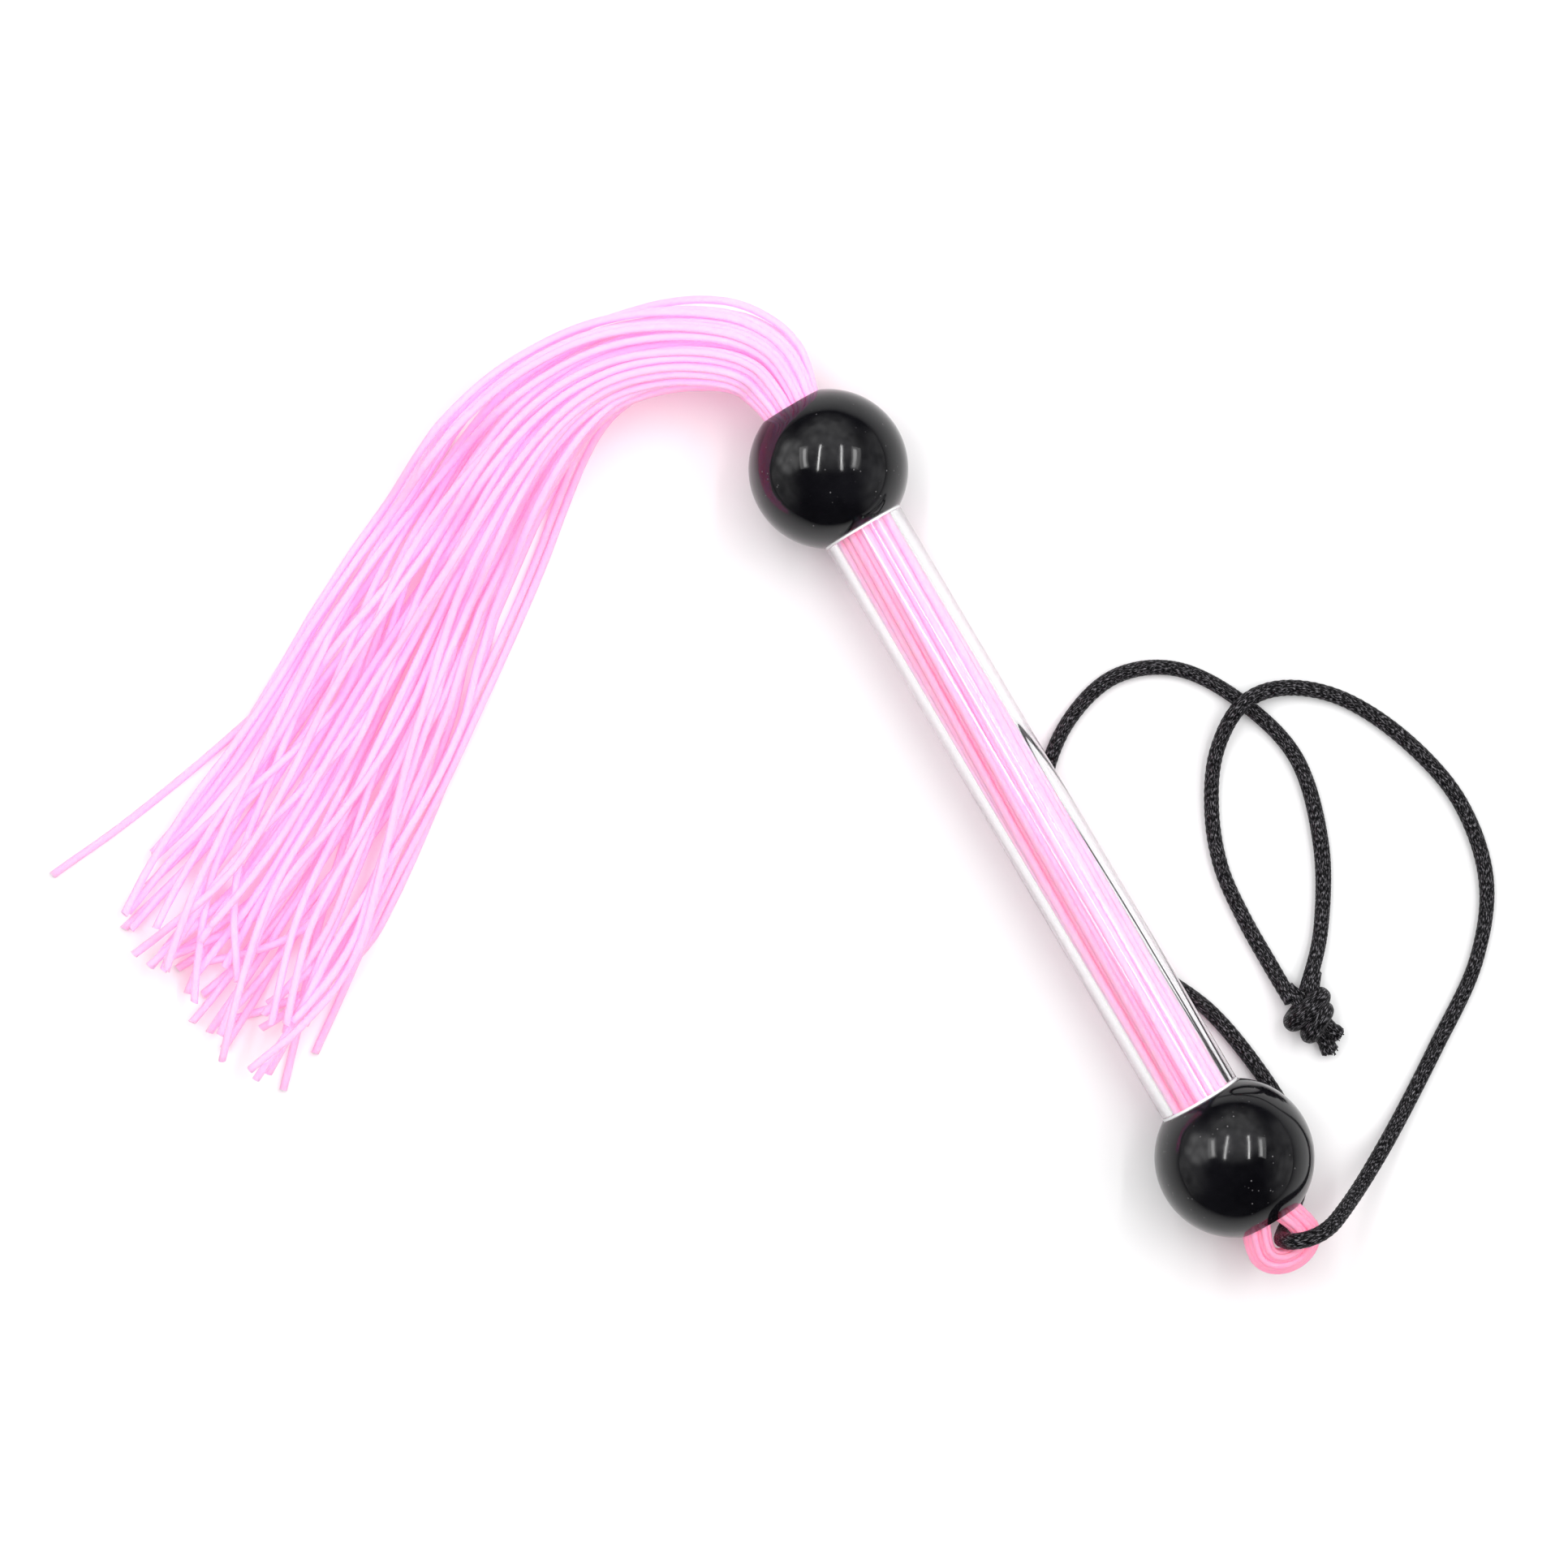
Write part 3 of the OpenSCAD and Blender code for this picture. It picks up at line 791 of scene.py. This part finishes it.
tail_rng = np.random.default_rng(21)
guides, cuts = tail_guides(tail_rng)
legs = lay_down(guides, tail_rng)


def cut_path(points, cut):
    """A strand end's path from the ball's bore to its cut tip, smooth and evenly stepped."""
    at = np.concatenate([stations[stations < cut - 0.8], [cut]])
    path = np.stack([np.interp(at, stations, points[:, c]) for c in range(3)], axis=1)
    return even(smooth_line(path, 3), 1.3)


tail_pieces = []
for number, (points, cut) in enumerate(zip(legs, cuts)):
    i, half = number // 2, "ab"[number % 2]
    path = cut_path(points, cut)
    freed = ramp(run(path), SWELLS_FROM, SWELLS_TO)
    thick = (SQUEEZED_R + (STRAND_R - SQUEEZED_R) * freed) * (1 + 0.02 * np.sin(run(path) / 9 + number))
    # Lower rows take the copy of the rubber painted in a darker shade.
    finish = STRAND if SLOTS[i][0] >= 0 else STRAND_PAINTED_SHADE
    piece = tube(f"strand_{i + 1:02d}_end_{half}", path, thick, 12, finish,
                 lean=tail_rng.normal(0, 0.14))
    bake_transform(piece)
    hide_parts(f"strand_{i + 1:02d}_tail")
    tail_pieces.append((run(path)[-1], piece, path))

MOST_CORDS = 39
tail_pieces.sort(key=lambda t: -t[0])
for length, piece, path in tail_pieces[:MOST_CORDS]:
    leaves = path[np.argmin(abs(path[:, 0] - MOUTH_X) + 100 * (run(path) > 20))]


# ---------------------------------------------------------------- floor, lights
FLOOR_HALF = 3.0


def add_floor():
    half = FLOOR_HALF
    mesh = bpy.data.meshes.new("floor")
    z = FLOOR_Z * MM
    mesh.from_pydata([(-half, -half, z), (half, -half, z), (half, half, z), (-half, half, z)], [],
                     [(0, 1, 2, 3)])
    mesh.materials.append(FLOOR)
    floor = bpy.data.objects.new("floor", mesh)
    bpy.context.scene.collection.objects.link(floor)


def place(right, up, height):
    """A point over the object, in the camera's own right and up."""
    return Vector((EYE_POINT.x, EYE_POINT.y, 0)) + RIGHT * right + UP * up + BACK * height


def group(name, wanted):
    """A collection of the pieces whose names the test accepts, for a light of their own."""
    made = bpy.data.collections.new(name)
    for piece in bpy.context.scene.objects:
        if piece.type == "MESH" and wanted(piece.name):
            made.objects.link(piece)
    return made


def add_light(name, at, size, power, glossy=True, shadow=True, turn=0.0, only=None, colour=(1, 1, 1)):
    """An area light that faces the object. Its long side runs along the camera's up, then turned.

    only is the collection of pieces that it lights, or None for all of them.
    """
    data = bpy.data.lights.new(name, "AREA")
    data.shape = "RECTANGLE"
    data.size, data.size_y = size
    data.energy = power
    data.use_shadow = shadow
    data.color = colour
    light = bpy.data.objects.new(name, data)
    bpy.context.scene.collection.objects.link(light)
    back = (at - place(0, 0, 0)).normalized()
    across = RIGHT * math.cos(turn) + UP * math.sin(turn)
    long_way = back.cross(across).normalized()
    across = long_way.cross(back).normalized()
    light.matrix_world = Matrix.Translation(at) @ Matrix((across, long_way, back)).transposed().to_4x4()
    light.visible_camera = False
    light.visible_glossy = glossy
    light.visible_transmission = False
    if only:
        light.light_linking.receiver_collection = only
    return light


def studio_world():
    """Even white light on matt surfaces. Mirrored, the studio is dark, with a soft glow beyond the
    far side of the object and at either hand."""
    world = bpy.data.worlds.new("studio")
    world.use_nodes = True
    nodes, links = world.node_tree.nodes, world.node_tree.links

    def dot(way, start, end, low, high):
        """A value that grows from low to high as the direction turns towards way."""
        turned = nodes.new("ShaderNodeVectorMath")
        turned.operation = "DOT_PRODUCT"
        turned.inputs[1].default_value = way.normalized()
        links.new(where.outputs["Generated"], turned.inputs[0])
        made = nodes.new("ShaderNodeMapRange")
        made.interpolation_type = "SMOOTHSTEP"
        for key, value in zip(("From Min", "From Max", "To Min", "To Max"), (start, end, low, high)):
            made.inputs[key].default_value = value
        links.new(turned.outputs["Value"], made.inputs["Value"])
        return made.outputs["Result"]

    def maths(operation, first, second):
        made = nodes.new("ShaderNodeMath")
        made.operation = operation
        links.new(first, made.inputs[0])
        links.new(second, made.inputs[1])
        return made.outputs[0]

    where = nodes.new("ShaderNodeTexCoord")
    glow = dot(BACK + 0.80 * UP, 0.62, 0.985, 0.02, 0.95)
    hands = maths("ADD", dot(RIGHT, 0.55, 0.98, 0, 0.5), dot(-RIGHT, 0.55, 0.98, 0, 0.5))
    window = dot(0.62 * BACK + 0.3 * UP - RIGHT, 0.90, 0.995, 0, 1.3)
    folds = nodes.new("ShaderNodeTexNoise")
    folds.inputs["Scale"].default_value = 4
    folds.inputs["Detail"].default_value = 1
    links.new(where.outputs["Generated"], folds.inputs["Vector"])
    cloth = nodes.new("ShaderNodeMapRange")
    for key, value in zip(("From Min", "From Max", "To Min", "To Max"), (0.3, 0.7, 0.55, 1.4)):
        cloth.inputs[key].default_value = value
    links.new(folds.outputs["Fac"], cloth.inputs["Value"])
    lit = maths("ADD", glow, maths("ADD", hands, window))
    studio = maths("MULTIPLY", lit, cloth.outputs["Result"])
    fill = nodes["Background"]
    fill.inputs["Color"].default_value = (1, 1, 1, 1)
    fill.inputs["Strength"].default_value = FILL
    mirrored = nodes.new("ShaderNodeBackground")
    links.new(studio, mirrored.inputs["Strength"])
    mirrored.inputs["Color"].default_value = (1, 1, 1, 1)
    ray = nodes.new("ShaderNodeLightPath")
    mix = nodes.new("ShaderNodeMixShader")
    either = maths("MAXIMUM", ray.outputs["Is Glossy Ray"], ray.outputs["Is Transmission Ray"])
    links.new(either, mix.inputs[0])
    links.new(fill.outputs[0], mix.inputs[1])
    links.new(mirrored.outputs[0], mix.inputs[2])
    links.new(mix.outputs[0], nodes["World Output"].inputs["Surface"])
    bpy.context.scene.world = world


FILL = 0.26
add_floor()
# The strands have soft lights of their own, which cast no shade, so that they seem to glow.
soft = group("soft_pieces", lambda name: name.startswith("strand"))
hard = group("hard_pieces", lambda name: not name.startswith("strand"))
clear = group("clear_pieces", lambda name: name == grip.name)
ALONG_GRIP = math.radians(30.5)
add_light("key", place(0.30, 0.30, 1.55), (2.4, 2.4), 25, glossy=False, only=hard)
add_light("soft_fill", place(0.1, 0.1, 1.6), (2.6, 2.6), 7.5, glossy=False, shadow=False,
          only=hard)
add_light("strand_light", place(0.2, 0.2, 1.6), (2.6, 2.6), 36, glossy=False, shadow=False,
          only=soft)
add_light("strand_bounce", place(0, 0, -1.2), (2.0, 2.0), 29, glossy=False, shadow=False, only=soft,
          colour=(1, 0.68, 0.82))
GRIP_LIGHTS = [
    ("grip_streak", (0.035, 0.134, 1.5), (0.14, 0.13), 0.35),
    ("grip_streak_core", (0.010, 0.140, 1.5), (0.05, 0.26), 0.8),
    ("grip_line", (-0.08, -1.118, 1.5), (0.04, 0.24), 0.65),
]
for name, at, size, power in GRIP_LIGHTS:
    add_light(name, Vector(at), size, power, turn=ALONG_GRIP, only=clear)
add_light("strip_left", place(-0.37, 0.42, 1.5), (0.05, 1.0), 3.4, turn=math.radians(-9))
add_light("strip_right", place(0.55, 0.42, 1.5), (0.05, 1.0), 3.6, turn=math.radians(2))
add_light("strip_left_wide", place(-1.05, 0.45, 1.5), (0.14, 0.8), 1.7)
add_light("strip_left_haze", place(-1.12, 0.48, 1.5), (0.42, 1.0), 2.2)
add_light("strip_right_wide", place(1.20, 0.45, 1.5), (0.14, 0.8), 1.8)
add_light("strip_right_haze", place(1.28, 0.48, 1.5), (0.42, 1.0), 2.2)
studio_world()
bpy.context.scene.view_settings.view_transform = "Standard"
